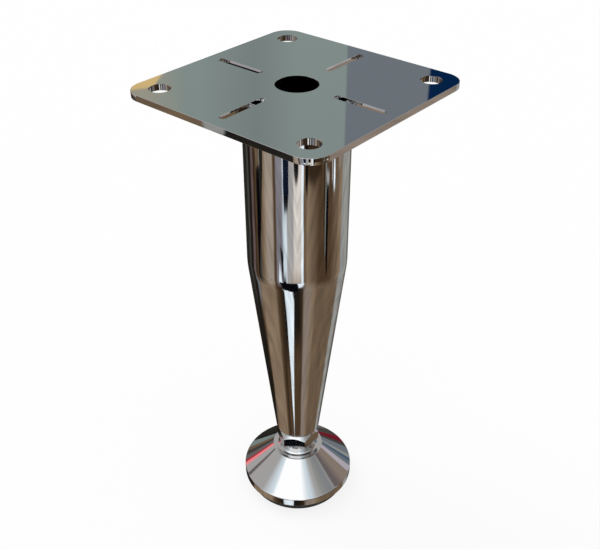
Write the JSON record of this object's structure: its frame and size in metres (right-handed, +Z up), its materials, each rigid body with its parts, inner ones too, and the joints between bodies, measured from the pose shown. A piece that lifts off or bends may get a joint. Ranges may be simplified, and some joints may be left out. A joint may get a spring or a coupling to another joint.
{
  "type": "bed leg",
  "caption": "Chromed furniture leg: square screw plate, straight tube running into a taper, and a conical levelling foot on a screw.",
  "frame": {"origin": "on the floor, under the middle of the foot", "axes": "+Z up the leg to the plate, X and Y parallel to the sides of the square plate"},
  "size_m": [0.11, 0.11, 0.2515],
  "materials": {
    "plate_chrome": "bright chrome plate on steel, polished flat",
    "shell_chrome": "bright chrome plate on drawn steel tube, mirror polish",
    "bush_steel": "turned steel, zinc plated",
    "stud_steel": "zinc plated thread",
    "foot_chrome": "bright chrome plate on a turned casting, mirror polish",
    "pad_rubber": "matt black moulded rubber"
  },
  "bodies": {
    "leg": {"mounting_plate": "plate_chrome", "leg_shell": "shell_chrome", "threaded_bush": "bush_steel"},
    "pad": {"glide_pad": "pad_rubber"},
    "foot": {"levelling_foot": "foot_chrome", "levelling_stud": "stud_steel"}
  },
  "joints": [
    {"name": "foot_travel", "type": "slide", "parent": "leg", "child": "pad", "axis": [0, 0, -1], "range_m": [0, 0.015]},
    {"name": "foot_turn", "type": "hinge", "parent": "pad", "child": "foot", "pos_m": [0, 0, 0.02], "axis": [0, 0, -1], "range_deg": [0, 3600]}
  ],
  "couplings": [
    {"joint": "foot_travel", "follows": "foot_turn", "m_per_rad": 0.0002387}
  ]
}
